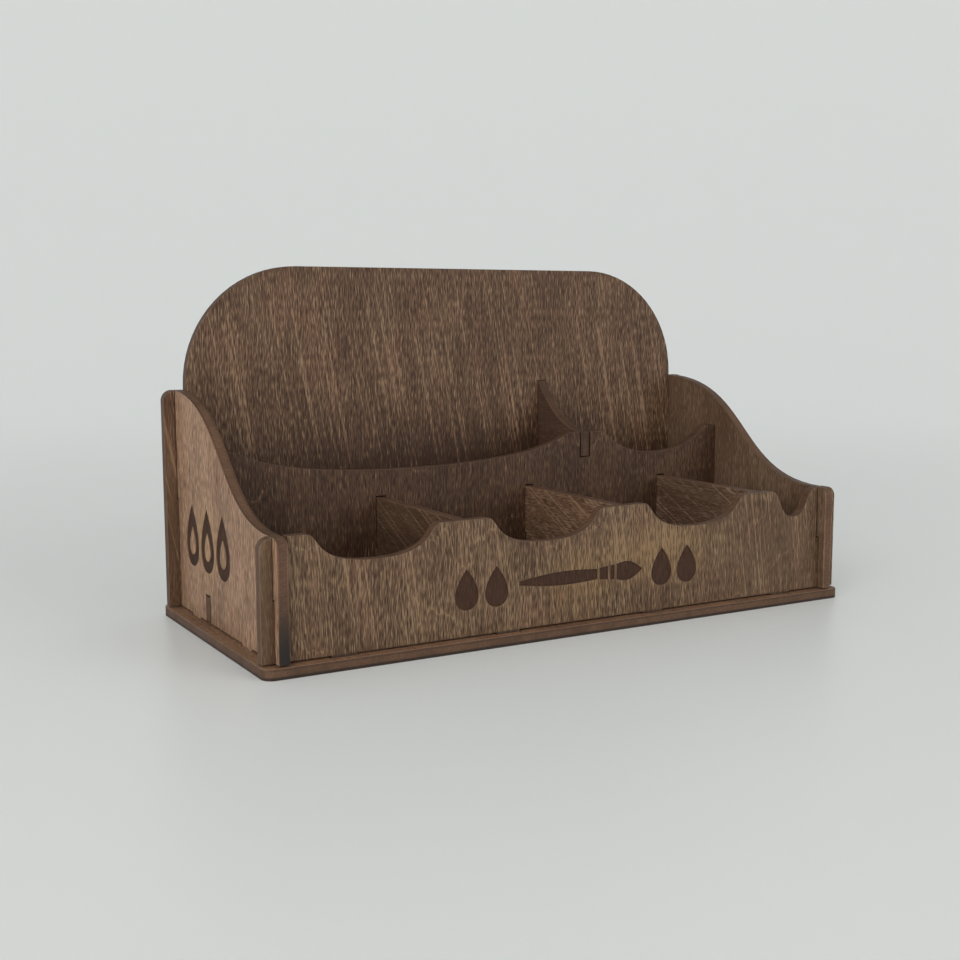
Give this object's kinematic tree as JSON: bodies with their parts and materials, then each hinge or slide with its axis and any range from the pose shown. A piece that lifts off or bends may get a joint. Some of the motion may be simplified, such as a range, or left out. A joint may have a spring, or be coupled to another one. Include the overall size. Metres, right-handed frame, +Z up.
{
  "type": "paint rack organizer",
  "caption": "Interlocking plywood desk rack: an open front row of compartments with scooped rims, a taller rear row, and a tall rounded back board.",
  "frame": {"origin": "middle of the base plate's underside, on the ground", "axes": "+X to the right along the rack's length, +Y from the open front to the tall back board, +Z up"},
  "size_m": [0.258, 0.1146, 0.1393],
  "materials": {
    "base_plate_plywood": "stained satin birch plywood with dark laser-cut edges",
    "front_panel_plywood": "stained satin birch plywood with dark laser-cut edges",
    "middle_panel_plywood": "stained satin birch plywood with dark laser-cut edges",
    "back_panel_plywood": "stained satin birch plywood with dark laser-cut edges",
    "left_side_panel_plywood": "stained satin birch plywood with dark laser-cut edges",
    "right_side_panel_plywood": "stained satin birch plywood with dark laser-cut edges",
    "front_divider_left_plywood": "stained satin birch plywood with dark laser-cut edges",
    "front_divider_middle_plywood": "stained satin birch plywood with dark laser-cut edges",
    "front_divider_right_plywood": "stained satin birch plywood with dark laser-cut edges",
    "rear_divider_plywood": "stained satin birch plywood with dark laser-cut edges"
  },
  "bodies": {
    "root": {"base_plate": "base_plate_plywood", "front_panel": "front_panel_plywood", "middle_panel": "middle_panel_plywood", "back_panel": "back_panel_plywood", "left_side_panel": "left_side_panel_plywood", "right_side_panel": "right_side_panel_plywood", "front_divider_left": "front_divider_left_plywood", "front_divider_middle": "front_divider_middle_plywood", "front_divider_right": "front_divider_right_plywood", "rear_divider": "rear_divider_plywood"}
  },
  "joints": []
}
